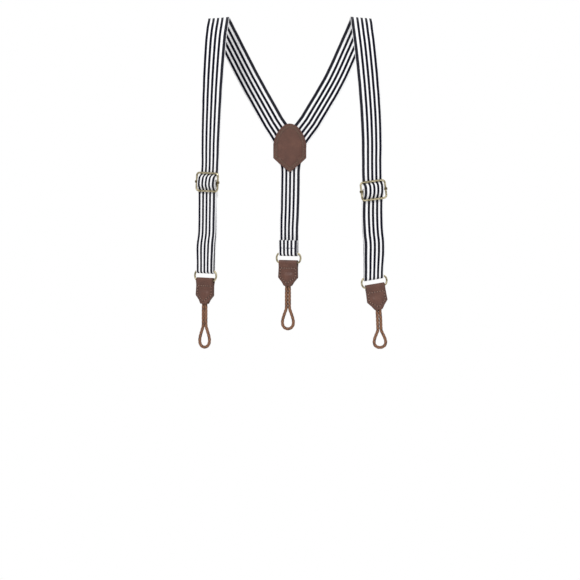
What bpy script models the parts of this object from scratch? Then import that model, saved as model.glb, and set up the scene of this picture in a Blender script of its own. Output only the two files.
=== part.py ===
# Child's Y-back suspenders with button loops, in the worn position. Metres, +Z up.
# X runs across the shoulders, -Y is the chest side and +Y the back.
# The origin is midway between the shoulders, level with what the straps rest on.

import math

import bmesh
import bpy
from mathutils import Matrix, Vector

# Webbing
webbing_width = 0.0200
webbing_thick = 0.0012
fold_width = webbing_width - 0.0016  # bunched where it goes round a ring
slider_width = webbing_width - 0.0008  # bunched a little inside an adjuster
back_width = webbing_width - 0.0020  # the back strap is stretched, so it is narrower

# Wire and clearances
frame_wire = 0.0009  # radius of the adjuster's wire
bar_wire = 0.0009
ring_wire = 0.00085
gap = 0.0003  # between pieces that touch on the real object
frame_gap = 0.00045  # between the frame's wires and the webbing behind them
sleeve_gap = 0.00015
slant_gap = 0.00012  # left between the two plies where they climb through an adjuster
frame_room = 0.00205  # from the webbing's edge to the middle of the frame's side wire
ring_room = 0.0005  # from the webbing's edge to the end of a ring's straight wire
tab_room = 0.0009  # the same from a tab's edge

# Adjuster, measured on the wire's centreline
adjuster_wide = slider_width + 2 * frame_room
adjuster_high = 0.0162
adjuster_corner = 0.0027
sleeve_wall = 0.0006
sleeve_high = 0.0022
bar_back = 0.0016  # how far behind the middle of the frame's wire the bar runs

# Ring, measured on the wire's centreline
ring_straight = fold_width + 2 * ring_room
ring_high = 0.0084
ring_bulge = 0.0020

# Leather tab, folded over the ring
leather = 0.0013
tab_top_wide = ring_straight - 2 * tab_room
tab_wide = tab_top_wide + 0.0010
tab_neck_wide = 0.0055
tab_side = 0.0135  # from the ring's wire down to the corners
tab_drop = 0.0212  # from the ring's wire down to the tip

# Button loop
cord = 0.0014  # radius
anchor_long = 0.0090

# Yoke patch
yoke_wide = 0.0301
yoke_high = 0.0442
yoke_side_top = 0.0010  # where the straight sides start, up from the patch's middle
yoke_side_end = -0.0092
yoke_middle = -0.1158

# The worn shape
chest_y = -0.0350
back_y = 0.0350
adjuster_up = 0.0600  # how far an adjuster slides up its strap
ring_arc_steps = 10

# Each strap over a shoulder, from the yoke to the top of the chest, as rows of
# (out from the middle, y, z, rise of the inner edge, turn of the inner edge to the chest side)
left_shoulder = [
    (0.0152, back_y, -0.0923, 30.0, 0),
    (0.0353, back_y, -0.0563, 28.5, 0),
    (0.0500, back_y, -0.0280, 27, 0),
    (0.0572, 0.0303, -0.0137, 23, 8),
    (0.0625, 0.0175, -0.0032, 15, 8),
    (0.0644, 0.0000, 0.0006, 5, 4),
    (0.0650, -0.0175, -0.0032, -1, 2),
    (0.0665, -0.0303, -0.0137, -5, 5),
]
right_shoulder = [
    (0.0183, back_y, -0.0923, 33.0, 0),
    (0.0394, back_y, -0.0563, 28.0, 0),
    (0.0526, back_y, -0.0280, 24, 0),
    (0.0588, 0.0303, -0.0137, 21, 8),
    (0.0634, 0.0175, -0.0032, 14, 8),
    (0.0645, 0.0000, 0.0006, 6, 4),
    (0.0652, -0.0175, -0.0032, -1, 2),
    (0.0664, -0.0303, -0.0137, -5, 3),
]
# The strap's end between the yoke's plies is cut at an angle:
# (its inner corner out from the middle, z, rise of the strap, cut)
left_yoke_end = (0.0004, -0.1070, 31.0, 32.5)
right_yoke_end = (0.0006, -0.1093, 36.0, 28)

# Each front strap down the chest: (z, out from the middle, turn)
left_chest = [
    (-0.0280, 0.0677, 10),
    (-0.0560, 0.0694, 19),
    (-0.0850, 0.0706, 26),
    (-0.1100, 0.0714, 31),
    (-0.1300, 0.0717, 35),
    (-0.1390, 0.0721, 35),
    (-0.1481, 0.0732, 35),
    (-0.1570, 0.0744, 36),
    (-0.1700, 0.0746, 37),
    (-0.1850, 0.0748, 38),
    (-0.1950, 0.0751, 38),
    (-0.2060, 0.0763, 36),
    (-0.2281, 0.0766, 34),
    (-0.2560, 0.0770, 34),
]
right_chest = [
    (-0.0280, 0.0681, 5),
    (-0.0560, 0.0708, 9),
    (-0.0850, 0.0729, 12),
    (-0.1100, 0.0738, 17),
    (-0.1300, 0.0738, 20),
    (-0.1445, 0.0740, 20),
    (-0.1555, 0.0747, 19),
    (-0.1665, 0.0747, 18),
    (-0.1750, 0.0746, 18),
    (-0.1850, 0.0748, 18),
    (-0.1950, 0.0754, 18),
    (-0.2060, 0.0763, 18),
    (-0.2337, 0.0757, 12),
    (-0.2620, 0.0755, 12),
]

# Back strap: (z, x, turn)
back_route = [
    (-0.1260, 0.0005, 0),
    (-0.1450, 0.0004, 2),
    (-0.1700, 0.0000, 8),
    (-0.1900, -0.0006, 15),
    (-0.2100, -0.0004, 20),
    (-0.2120, -0.0003, 20),
]

# Where the parts of each side sit: heights, tilts seen from the chest side (right side up is positive)
left_side = dict(name="left", side=-1, adjuster_z=-0.1481, ring_z=-0.2281, adjuster_rise=-3.0,
                 ring_rise=-2.5, loop_rise=0.0, lean=2.4, stem=0.0180, loop_high=0.0193)
right_side = dict(name="right", side=1, adjuster_z=-0.1555, ring_z=-0.2337, adjuster_rise=7.5,
                  ring_rise=9.4, loop_rise=2.2, lean=1.8, stem=0.0167, loop_high=0.0157)
back_ring_z = -0.2120
back_ring_rise = -1.5
back_loop_rise = 0.0
back_stem = 0.0185
back_loop_high = 0.0188
back_tail = 0.0120  # of the folded end, up from the ring's wire

# The webbing's way through an adjuster, as shares: how far from the strap's own plane to the
# furthest place, and how high, where 1 is the level of the frame's upper wire.
weave = [
    (0, 1.36), (0, 1.10), (0.03, 0.90), (0.22, 0.77), (0.62, 0.64), (0.92, 0.48), (1, 0.27), (1, 0),
    (0.96, -0.20), (0.76, -0.44), (0.38, -0.667), (0.05, -0.855), (0, -1.0), (0, -1.36),
]
end_rise = [(0, -1.36), (0, -0.97), (0.13, -0.734), (0.49, -0.537), (0.83, -0.328), (0.96, -0.158), (1, 0)]
bar_share = 2.68  # the level that the rows just above the bar go by, against the wrap round the bar
climb = 1.65  # the steepest slope on the way, against the mean slope up to the bar
end_tail = [(0, 0), (0.13, -0.226), (0.50, -0.508), (0.93, -0.79), (1, -1.02), (1, -1.70)]

# Button loop below its tab's tip, one half: (out from the middle, share of the stem, share of the loop)
loop_route = [
    (0.0015, 0, 0), (0.0015, 0.33, 0), (0.0015, 0.66, 0), (0.0016, 1, 0), (0.0026, 1, 0.17),
    (0.0040, 1, 0.37), (0.0050, 1, 0.55), (0.0053, 1, 0.71), (0.0046, 1, 0.86), (0.0026, 1, 0.965), (0, 1, 1),
]

parts = bpy.data.collections.new("Suspenders")
cutters = bpy.data.collections.new("Cutters")


def clear_scene():
    for obj in list(bpy.data.objects):
        bpy.data.objects.remove(obj, do_unlink=True)
    bpy.context.scene.collection.children.link(parts)
    bpy.context.scene.collection.children.link(cutters)


def material(name, colour, roughness, metallic=0.0):
    made = bpy.data.materials.new(name)
    made.use_nodes = True
    shader = made.node_tree.nodes["Principled BSDF"]
    shader.inputs["Base Color"].default_value = (*colour, 1.0)
    shader.inputs["Roughness"].default_value = roughness
    shader.inputs["Metallic"].default_value = metallic
    made.diffuse_color = (*colour, 1.0)
    return made


def add(name, data, look, parent=None, group=None):
    obj = bpy.data.objects.new(name, data)
    if look:
        data.materials.append(look.copy())
        data.materials[0].name = name
    (group or parts).objects.link(obj)
    obj.parent = parent
    return obj


def place(name, matrix, parent=None):
    empty = bpy.data.objects.new(name, None)
    empty.empty_display_size = 0.004
    parts.objects.link(empty)
    empty.parent = parent
    empty.matrix_basis = matrix
    return empty


def smooth(rows, steps=4):
    """Rows read from a Catmull-Rom curve through the given rows."""
    rows = [Vector(row) for row in rows]
    ends = [rows[0] * 2 - rows[1], *rows, rows[-1] * 2 - rows[-2]]
    found = []
    for a, b, c, d in zip(ends, ends[1:], ends[2:], ends[3:]):
        for i in range(steps):
            t = i / steps
            found.append(0.5 * (2 * b + (c - a) * t + (2 * a - 5 * b + 4 * c - d) * t * t
                                + (3 * b - a - 3 * c + d) * t ** 3))
    return found + [rows[-1]]


def at_height(rows, z):
    """The values beside z in rows that fall in z, along a smooth curve."""
    fine = smooth(rows, 8)
    for a, b in zip(fine, fine[1:]):
        if b[0] <= z <= a[0]:
            return a.lerp(b, (z - a[0]) / (b[0] - a[0]))
    return fine[0] if z > fine[0][0] else fine[-1]


def strip(name, stations, thick, look, parent=None):
    """A band from (middle, vector across its full width) stations, with its thickness added."""
    mesh = bpy.data.meshes.new(name)
    shape = bmesh.new()
    edges = [[shape.verts.new(middle + across * k) for k in (-0.5, 0.5)] for middle, across in stations]
    for (a, b), (c, d) in zip(edges, edges[1:]):
        shape.faces.new((a, b, d, c))
    shape.to_mesh(mesh)
    shape.free()
    obj = add(name, mesh, look, parent)
    wall = obj.modifiers.new("Thickness", "SOLIDIFY")
    wall.thickness = thick
    wall.offset = 0
    wall.use_even_offset = True
    return obj


def tube(name, points, radius, look, parent=None, closed=False, radii=None):
    """A round wire or cord along the points."""
    curve = bpy.data.curves.new(name, "CURVE")
    curve.dimensions = "3D"
    curve.bevel_depth = radius
    curve.bevel_resolution = 2
    curve.use_fill_caps = True
    line = curve.splines.new("POLY")
    line.points.add(len(points) - 1)
    for i, point in enumerate(points):
        line.points[i].co = (*point, 1)
        line.points[i].radius = radii[i] if radii else 1
    line.use_cyclic_u = closed
    return add(name, curve, look, parent)


def arc(middle, radius, start, end, steps):
    """Points (across, up) on a round stretch, angles in degrees."""
    turns = [math.radians(start + (end - start) * i / steps) for i in range(steps + 1)]
    return [Vector((middle[0] + radius * math.cos(t), middle[1] + radius * math.sin(t))) for t in turns]


def across_vector(side, rise, turn):
    """The unit vector across a strap, towards its inner edge."""
    rise, turn = math.radians(rise), math.radians(turn)
    return Vector((-side * math.cos(rise) * math.cos(turn), -math.cos(rise) * math.sin(turn), math.sin(rise)))


def outward(side, turn):
    """The direction that the strap's outer face looks in, on the chest."""
    turn = math.radians(turn)
    return Vector((side * math.sin(turn), -math.cos(turn), 0))


def local_frame(point, side, turn, rise):
    return (Matrix.Translation(point) @ Matrix.Rotation(side * math.radians(turn), 4, "Z")
            @ Matrix.Rotation(-math.radians(rise), 4, "Y"))


def smooth_step(t):
    t = min(1.0, max(0.0, t))
    return t * t * (3 - 2 * t)


class Chest:
    """One front strap on the chest: where its middle, its width and its face are at each height."""

    def __init__(self, where, rows):
        self.side = where["side"]
        self.where = where
        self.rows = rows
        self.adjuster_z = where["adjuster_z"]
        self.ring_z = where["ring_z"]

    def turn(self, z):
        return at_height(self.rows, z)[2]

    def near_frame(self, z):
        return smooth_step(1 - (abs(z - self.adjuster_z) - 0.010) / 0.016)

    def middle(self, z):
        """The strap's middle. Near the frame it shifts sideways only in the frame's own plane."""
        _, out, turn = at_height(self.rows, z)
        shift = out - at_height(self.rows, self.adjuster_z)[1]
        level = shift * math.tan(math.radians(turn)) * self.near_frame(z)
        return Vector((self.side * out, chest_y + level, z))

    def width(self, z):
        at_ring = smooth_step(1 - (z - self.ring_z - 0.004) / 0.020)
        at_frame = smooth_step(1 - (abs(z - self.adjuster_z) - 0.004) / 0.008)
        return webbing_width + (fold_width - webbing_width) * at_ring + (slider_width - webbing_width) * at_frame

    def rise(self, z):
        """The inner edge's rise: square to the strap, but level with the frame and with the ring near them."""
        own = -self.where["lean"]
        frame = -self.side * self.where["adjuster_rise"]
        ring = -self.side * self.where["ring_rise"]
        near_ring = smooth_step(1 - (z - self.ring_z - 0.004) / 0.030)
        return own + (frame - own) * self.near_frame(z) + (ring - own) * near_ring

    def station(self, z, forward=0.0):
        turn = self.turn(z)
        across = across_vector(self.side, self.rise(z), turn) * self.width(z)
        return self.middle(z) + outward(self.side, turn) * forward, across

    def run(self, top, bottom, start_forward, end_forward, step=0.006):
        count = max(2, round((top - bottom) / step))
        share = [i / count for i in range(count + 1)]
        return [self.station(top + (bottom - top) * t, start_forward + (end_forward - start_forward) * t)
                for t in share]


def shoulder_stations(chest, rows, end, bottom):
    """From the cut end in the yoke, over the shoulder and down to a height on the chest."""
    side = chest.side
    corner_out, z, rise, cut = end
    across = across_vector(side, rise + cut, 0) * webbing_width / math.cos(math.radians(cut))
    found = [(Vector((side * (corner_out + abs(across.x) / 2), back_y, z)), across)]
    chest_rows = [(u, chest_y, height, -chest.where["lean"] - 2.5 * (height > -0.04), turn)
                  for height, u, turn in chest.rows[:5]]
    for row in smooth([*rows, *chest_rows], 5):
        if row[1] <= chest_y + 1e-6 and row[2] < bottom + 0.002:
            break
        across = across_vector(side, row[3], row[4])
        found.append((Vector((side * row[0], row[1], row[2])), across * webbing_width))
    return found + [chest.station(bottom)]


def yoke_outline(name, y, look):
    curve = bpy.data.curves.new(name, "CURVE")
    curve.dimensions = "2D"
    curve.fill_mode = "BOTH"
    curve.extrude = leather / 2
    curve.resolution_u = 8
    half, top, bottom = yoke_wide / 2, yoke_high / 2, -yoke_high / 2
    round_top, round_side = 0.0078, 0.0095
    # point, handle before it and handle after it, anticlockwise from the tip
    knots = [
        ((0, bottom), (-0.002, bottom + 0.001), (0.002, bottom + 0.001)),
        ((half, yoke_side_end), (half - 0.0012, yoke_side_end - 0.0016), (half, yoke_side_end + 0.002)),
        ((half, yoke_side_top), (half, yoke_side_top - 0.002), (half, yoke_side_top + round_side)),
        ((0, top), (round_top, top), (-round_top, top)),
        ((-half, yoke_side_top), (-half, yoke_side_top + round_side), (-half, yoke_side_top - 0.002)),
        ((-half, yoke_side_end), (-half, yoke_side_end + 0.002), (-half + 0.0012, yoke_side_end - 0.0016)),
    ]
    line = curve.splines.new("BEZIER")
    line.bezier_points.add(len(knots) - 1)
    for point, (middle, before, after) in zip(line.bezier_points, knots):
        point.co = (*middle, 0)
        point.handle_left_type = point.handle_right_type = "FREE"
        point.handle_left = (*before, 0)
        point.handle_right = (*after, 0)
    line.use_cyclic_u = True
    obj = add(name, curve, look)
    obj.location = (0, y, yoke_middle)
    obj.rotation_euler = (math.radians(90), 0, 0)
    return obj


def rounded_frame():
    """The adjuster's wire: a rectangle with round corners."""
    x, z = adjuster_wide / 2 - adjuster_corner, adjuster_high / 2 - adjuster_corner
    points = []
    for start, (sx, sz) in zip((0, 90, 180, 270), ((1, 1), (-1, 1), (-1, -1), (1, -1))):
        points += arc((sx * x, sz * z), adjuster_corner, start, start + 90, 6)
    return [(p.x, 0, p.y) for p in points]


def ring_points():
    """The ring's wire: straight above and below, bulging at the sides. Its upper wire is at height 0."""
    half = ring_high / 2
    radius = (half * half + ring_bulge * ring_bulge) / (2 * ring_bulge)
    spread = math.degrees(math.asin(half / radius))
    middle = ring_straight / 2 + ring_bulge - radius
    right = arc((middle, -half), radius, -spread, spread, 10)
    left = arc((-middle, -half), radius, 180 - spread, 180 + spread, 10)
    return [(p.x, 0, p.y) for p in right + left]


def cylinder(name, radius, long, axis, where, parent, group=None, look=None):
    mesh = bpy.data.meshes.new(name)
    shape = bmesh.new()
    bmesh.ops.create_cone(shape, cap_ends=True, segments=20, radius1=radius, radius2=radius, depth=long)
    if axis == "X":
        bmesh.ops.rotate(shape, verts=shape.verts, matrix=Matrix.Rotation(math.radians(90), 3, "Y"))
    bmesh.ops.translate(shape, verts=shape.verts, vec=where)
    shape.to_mesh(mesh)
    shape.free()
    obj = add(name, mesh, look, parent, group)
    if group == cutters:
        obj.hide_render = True
        obj.display_type = "WIRE"
    return obj


def bar(name, parent, look):
    """The centre bar: a rod behind the frame, whose rolled ends are sleeves round the side wires."""
    bore = frame_wire + sleeve_gap
    reach = adjuster_wide / 2
    rod = cylinder(name, bar_wire, 2 * reach, "X", (0, bar_back, 0), parent, None, look)
    for sign, word in ((-1, "left"), (1, "right")):
        sleeve = cylinder(f"{name}_{word}_sleeve", bore + sleeve_wall, sleeve_high, "Z",
                          (sign * reach, 0, 0), parent, cutters)
        hole = cylinder(f"{name}_{word}_bore", bore, 2 * sleeve_high, "Z", (sign * reach, 0, 0), parent, cutters)
        for tool, operation in ((sleeve, "UNION"), (hole, "DIFFERENCE")):
            step = rod.modifiers.new(f"{word} {operation.lower()}", "BOOLEAN")
            step.operation = operation
            step.solver = "EXACT"
            step.object = tool
    return rod


def tab(name, parent, look):
    """A leather strip folded over the ring's lower wire, both plies cut to the same outline."""
    around = ring_wire + gap + leather / 2
    pinch, spread = leather / 2 + gap, cord + gap + leather / 2
    # (half the distance between the plies' middles, down, width)
    ply = [
        (around, 0.0, tab_top_wide),
        (around * 0.92, 0.0018, tab_top_wide + 0.0001),
        (pinch, 0.0048, tab_top_wide + 0.0004),
        (spread, tab_drop - anchor_long - 0.0015, tab_wide - 0.0002),
        (spread, tab_side, tab_wide),
        (spread, (tab_side + tab_drop) / 2, (tab_wide + tab_neck_wide) / 2),
        (spread, tab_drop, tab_neck_wide),
    ]
    fine = [Vector(row) for row in ply]
    front = [(Vector((0, -h, -down)), wide) for h, down, wide in reversed(fine)]
    fold = [(Vector((0, p.x, p.y)), tab_top_wide) for p in arc((0, 0), around, 180, 0, ring_arc_steps)]
    back = [(Vector((0, h, -down)), wide) for h, down, wide in fine]
    stations = [(point, Vector((wide, 0, 0))) for point, wide in front + fold[1:-1] + back]
    return strip(name, stations, leather, look, parent)


def button_loop(name, parent, look, stem, loop_high):
    """The cord's loop: two strands side by side, then round the button."""
    rows = smooth([(x, 0, -stem * a - loop_high * b) for x, a, b in loop_route], 3)
    start = Vector((0, 0, -gap - cord))
    points = [Vector((p.x, 0, p.z)) + start for p in rows]
    there = [Vector((-p.x, p.y, p.z)) for p in points]
    whole = there + points[-2::-1]
    lead = [(0.35, 0.95), (0.75, 0.62)]  # round ends, so that the loop can swing at its tab: (radius, up)
    first = [Vector((whole[0].x, 0, whole[0].z + up * cord)) for _, up in lead]
    last = [Vector((whole[-1].x, 0, whole[-1].z + up * cord)) for _, up in reversed(lead)]
    radii = [r for r, _ in lead] + [1.0] * len(whole) + [r for r, _ in reversed(lead)]
    return tube(name, first + whole + last, cord, look, parent, radii=radii)


def anchor(name, parent, look):
    """The cord's two ends side by side between the tab's plies, sewn flat into one."""
    mesh = bpy.data.meshes.new(name)
    shape = bmesh.new()
    bmesh.ops.create_cone(shape, cap_ends=True, segments=24, radius1=cord, radius2=cord, depth=anchor_long)
    bmesh.ops.scale(shape, vec=(1.9, 1, 1), verts=shape.verts)
    bmesh.ops.translate(shape, verts=shape.verts, vec=(0, 0, -tab_drop + gap + anchor_long / 2))
    shape.to_mesh(mesh)
    shape.free()
    return add(name, mesh, look, parent)


def hanging(name, frame, loop_turn, stem, loop_high):
    """A ring, the tab on it and the tab's button loop, each under an empty on its joint's axis."""
    ring_axis = place(f"{name}_ring_axis", frame)
    tube(f"{name}_ring", ring_points(), ring_wire, brass, ring_axis, closed=True)
    tab_axis = place(f"{name}_tab_axis", Matrix.Translation((0, 0, -ring_high)), ring_axis)
    tab(f"{name}_tab", tab_axis, leather_look)
    anchor(f"{name}_cord_anchor", tab_axis, cord_look)
    swing = Matrix.Translation((0, 0, -tab_drop)) @ Matrix.Rotation(-math.radians(loop_turn), 4, "Y")
    loop_axis = place(f"{name}_loop_axis", swing, tab_axis)
    button_loop(f"{name}_button_loop", loop_axis, cord_look, stem, loop_high)


def front_side(where, shoulder, yoke_end, rows):
    name, side = where["name"], where["side"]
    chest = Chest(where, rows)
    adjuster_z, ring_z = where["adjuster_z"], where["ring_z"]
    level = adjuster_high / 2
    above, below = adjuster_z + weave[0][1] * level, adjuster_z + weave[-1][1] * level
    split = above + adjuster_up + 0.001
    fold_top = ring_z + 0.008
    around = ring_wire + gap + webbing_thick / 2
    wires = frame_wire + frame_gap + webbing_thick / 2  # how far the frame stands in front of the strap
    bar_seat = wires - bar_back
    wrap_radius = bar_wire + gap + webbing_thick / 2
    steep = climb * (bar_seat + wrap_radius) / level
    ply = webbing_thick * math.hypot(1, steep) + slant_gap  # plies that climb side by side take more depth

    over_bar = bar_share * (wrap_radius + ply)  # what the strap crosses in front of keeps its own size

    def woven(shape, start, end):
        """Stations through the adjuster, from shares of the way between two distances in front."""
        rows = [(share, up * (over_bar if 0 < up < 0.5 else level)) for share, up in shape]
        return [chest.station(adjuster_z + up, start + (end - start) * share) for share, up in smooth(rows, 4)]

    strip(f"{name}_strap_shoulder", shoulder_stations(chest, shoulder, yoke_end, split), webbing_thick, webbing)
    strip(f"{name}_strap_travel", chest.run(split - gap, above + gap, 0, 0), webbing_thick, webbing)
    front = woven(weave, 0, bar_seat + wrap_radius + ply)
    front += chest.run(below, fold_top + gap, 0, 0)[1:]
    strip(f"{name}_strap_front_ply", front, webbing_thick, webbing)

    turned = [chest.station(ring_z + p.y, -around + p.x) for p in arc((0, 0), around, 0, -180, ring_arc_steps)]
    fold = chest.run(fold_top, ring_z, 0, 0, 0.004)[:-1] + turned
    fold += chest.run(ring_z, fold_top, -2 * around, -2 * around, -0.004)[1:]
    strip(f"{name}_strap_ring_fold", fold, webbing_thick, webbing)

    wrap = [chest.station(adjuster_z + p.y, p.x) for p in arc((bar_seat, 0), wrap_radius, 0, 180, ring_arc_steps)]
    back = chest.run(fold_top + gap, below, -2 * around, -ply)[:-1]
    back += woven(end_rise, -ply, bar_seat + wrap_radius)[:-1] + wrap
    back += woven(end_tail, bar_seat - wrap_radius, -2 * ply)[1:]
    strip(f"{name}_strap_back_ply", back, webbing_thick, webbing)

    turn = chest.turn(adjuster_z)
    seat = chest.middle(adjuster_z) + outward(side, turn) * wires
    slide = place(f"{name}_adjuster_axis", local_frame(seat, side, turn, where["adjuster_rise"]))
    tube(f"{name}_adjuster_frame", rounded_frame(), frame_wire, brass, slide, closed=True)
    bar(f"{name}_adjuster_bar", slide, brass)

    turn = chest.turn(ring_z)
    seat = chest.middle(ring_z) - outward(side, turn) * around
    frame = local_frame(seat, side, turn, where["ring_rise"])
    hanging(name, frame, where["loop_rise"] - where["ring_rise"], where["stem"], where["loop_high"])


def back_side():
    around = ring_wire + gap + webbing_thick / 2

    def station(z, forward=0.0):
        _, x, turn = at_height(back_route, z)
        narrow = smooth_step((z - back_route[0][0]) / -0.012)
        across = across_vector(-1, back_ring_rise * smooth_step((-0.180 - z) / 0.03), turn)
        middle = Vector((x, back_y, z)) + outward(-1, turn) * forward
        return middle, across * (webbing_width + (back_width - webbing_width) * narrow)

    top, count = back_route[0][0], 16
    stations = [station(top + (back_ring_z - top) * i / count) for i in range(count)]
    stations += [station(back_ring_z + p.y, around + p.x)
                 for p in arc((0, 0), around, 180, 360, ring_arc_steps)]
    stations += [station(back_ring_z + back_tail * i / 4, 2 * around) for i in range(1, 5)]
    strip("back_strap", stations, webbing_thick, webbing)
    _, x, turn = at_height(back_route, back_ring_z)
    seat = Vector((x, back_y, back_ring_z)) + outward(-1, turn) * around
    frame = local_frame(seat, -1, turn, back_ring_rise)
    hanging("back", frame, back_loop_rise - back_ring_rise, back_stem, back_loop_high)


clear_scene()
webbing = material("Webbing", (0.55, 0.55, 0.60), 0.85)
leather_look = material("Leather", (0.135, 0.070, 0.054), 0.55)
brass = material("Antique brass", (0.36, 0.29, 0.16), 0.40, 0.9)
cord_look = material("Cord", (0.28, 0.12, 0.06), 0.80)

ply_apart = webbing_thick / 2 + gap + leather / 2
yoke_outline("yoke_inner", back_y - ply_apart, leather_look)
yoke_outline("yoke_outer", back_y + ply_apart, leather_look)
front_side(left_side, left_shoulder, left_yoke_end, left_chest)
front_side(right_side, right_shoulder, right_yoke_end, right_chest)
back_side()
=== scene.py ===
# Child's Y-back suspenders: striped elastic webbing, leather yoke and tabs, brass wire, braided loops.
# Metres, +Z up, -Y is the chest side, left and right as seen from there. Blender 4.5, beside the frame.

import math

import bpy
from mathutils import Matrix, Vector


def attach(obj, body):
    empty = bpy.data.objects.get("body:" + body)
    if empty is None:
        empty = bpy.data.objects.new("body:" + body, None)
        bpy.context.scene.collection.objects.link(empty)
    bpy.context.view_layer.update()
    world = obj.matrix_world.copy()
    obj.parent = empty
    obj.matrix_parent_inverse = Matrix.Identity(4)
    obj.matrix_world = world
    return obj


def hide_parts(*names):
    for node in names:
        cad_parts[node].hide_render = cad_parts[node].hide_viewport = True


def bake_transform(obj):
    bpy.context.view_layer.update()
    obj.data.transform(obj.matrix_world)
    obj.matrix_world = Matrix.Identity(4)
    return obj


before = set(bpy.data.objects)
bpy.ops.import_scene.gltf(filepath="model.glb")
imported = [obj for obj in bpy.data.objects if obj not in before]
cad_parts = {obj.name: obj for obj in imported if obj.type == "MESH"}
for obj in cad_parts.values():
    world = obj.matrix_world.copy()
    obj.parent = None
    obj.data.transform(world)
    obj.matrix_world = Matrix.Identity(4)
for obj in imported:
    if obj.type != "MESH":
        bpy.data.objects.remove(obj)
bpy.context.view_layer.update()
mm = 0.001


def smoothStep(t):
    t = min(1.0, max(0.0, t))
    return t * t * (3 - 2 * t)


def smoothRows(rows, steps):
    # a smooth curve through rows of numbers
    rows = [Vector(row) for row in rows]
    ends = [rows[0] * 2 - rows[1], *rows, rows[-1] * 2 - rows[-2]]
    found = []
    for a, b, c, d in zip(ends, ends[1:], ends[2:], ends[3:]):
        for i in range(steps):
            t = i / steps
            found.append(0.5 * (2 * b + (c - a) * t + (2 * a - 5 * b + 4 * c - d) * t * t
                                + (3 * b - a - 3 * c + d) * t ** 3))
    return found + [rows[-1]]


def atHeight(rows, z):
    # the values beside z in rows that fall in z
    fine = smoothRows(rows, 8)
    for a, b in zip(fine, fine[1:]):
        if b[0] <= z <= a[0]:
            return a.lerp(b, (z - a[0]) / (b[0] - a[0]))
    return fine[0] if z > fine[0][0] else fine[-1]


def arcPoints(middle, radius, start, end, steps):
    turns = [math.radians(start + (end - start) * i / steps) for i in range(steps + 1)]
    return [Vector((middle[0] + radius * math.cos(t), middle[1] + radius * math.sin(t))) for t in turns]


def acrossVector(side, rise, turn):
    rise, turn = math.radians(rise), math.radians(turn)
    return Vector((-side * math.cos(rise) * math.cos(turn), -math.cos(rise) * math.sin(turn), math.sin(rise)))


def outward(side, turn):
    turn = math.radians(turn)
    return Vector((side * math.sin(turn), -math.cos(turn), 0))


def localFrame(point, side, turn, rise):
    return (Matrix.Translation(point) @ Matrix.Rotation(side * math.radians(turn), 4, "Z")
            @ Matrix.Rotation(-math.radians(rise), 4, "Y"))


def deselectAll():
    if bpy.context.object and bpy.context.object.mode != "OBJECT":
        bpy.ops.object.mode_set(mode="OBJECT")
    bpy.ops.object.select_all(action="DESELECT")


def pickOnly(piece):
    deselectAll()
    bpy.context.view_layer.objects.active = piece
    piece.select_set(True)


def takeNew(name):
    piece = bpy.context.object
    piece.name = name
    piece.data.name = name
    return piece


def applyModifier(piece, kind, **settings):
    pickOnly(piece)
    made = piece.modifiers.new(kind.title(), kind)
    for key, value in settings.items():
        setattr(made, key, value)
    bpy.ops.object.modifier_apply(modifier=made.name)


def cleanNormals(piece, merge=0.0):
    pickOnly(piece)
    bpy.ops.object.mode_set(mode="EDIT")
    bpy.ops.mesh.select_all(action="SELECT")
    if merge:
        bpy.ops.mesh.remove_doubles(threshold=merge)
    bpy.ops.mesh.normals_make_consistent(inside=False)
    bpy.ops.object.mode_set(mode="OBJECT")


def finishPiece(piece, finish, angle=40):
    pickOnly(piece)
    piece.data.materials.clear()
    piece.data.materials.append(finish)
    bpy.ops.object.shade_smooth_by_angle(angle=math.radians(angle))
    piece.select_set(False)
    return piece


view = {"distance": 6.0, "wide": 0.522, "x": 0.0002, "z": -0.24525}  # wide is what is seen at the straps


def makeCamera():
    data = bpy.data.cameras.new("Camera")
    data.sensor_width = 36
    data.lens = 36 * (view["distance"] + worn["chestY"]) / view["wide"]
    data.clip_start, data.clip_end = 0.1, 30
    camera = bpy.data.objects.new("Camera", data)
    camera.location = (view["x"], -view["distance"], view["z"])
    camera.rotation_euler = (math.radians(90), 0, 0)
    bpy.context.scene.collection.objects.link(camera)
    bpy.context.scene.camera = camera


studio = {
    "aim": (0, 0, -0.14),
    "seen": 1.0,  # the white behind the straps
    "light": 0.62,  # what that white throws on them
    # lamp: (place, watts, size in metres)
    "lamps": {
        "KeyLight": ((-0.6, -1.5, 1.2), 22, 0.40),
        "FillLight": ((1.3, -1.3, 0.2), 5, 1.0),
        "BackLight": ((0.5, 1.4, 0.9), 14, 0.8),
    },
}


def makeLights():
    for name, (place, power, size) in studio["lamps"].items():
        data = bpy.data.lights.new(name, "AREA")
        data.energy, data.size = power, size
        lamp = bpy.data.objects.new(name, data)
        lamp.location = place
        lamp.rotation_mode = "QUATERNION"
        lamp.rotation_quaternion = (Vector(studio["aim"]) - Vector(place)).to_track_quat("-Z", "Y")
        bpy.context.scene.collection.objects.link(lamp)
    scene = bpy.context.scene
    scene.view_settings.view_transform = "Standard"
    scene.world = bpy.data.worlds.new("Studio")
    scene.world.use_nodes = True
    tree = scene.world.node_tree
    direct = addNode(tree, "ShaderNodeLightPath")
    strength = addNode(tree, "ShaderNodeMapRange", named={
        "Value": direct, "To Min": studio["light"], "To Max": studio["seen"]})
    background = tree.nodes["Background"]
    background.inputs["Color"].default_value = (1, 1, 1, 1)
    tree.links.new(strength, background.inputs["Strength"])


def hexColour(code):
    parts = [int(code[i:i + 2], 16) / 255 for i in (0, 2, 4)]
    return [*(c / 12.92 if c <= 0.04045 else ((c + 0.055) / 1.055) ** 2.4 for c in parts), 1.0]


def newFinish(name):
    made = bpy.data.materials.new(name)
    made.use_nodes = True
    return made, made.node_tree, made.node_tree.nodes["Principled BSDF"]


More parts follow.
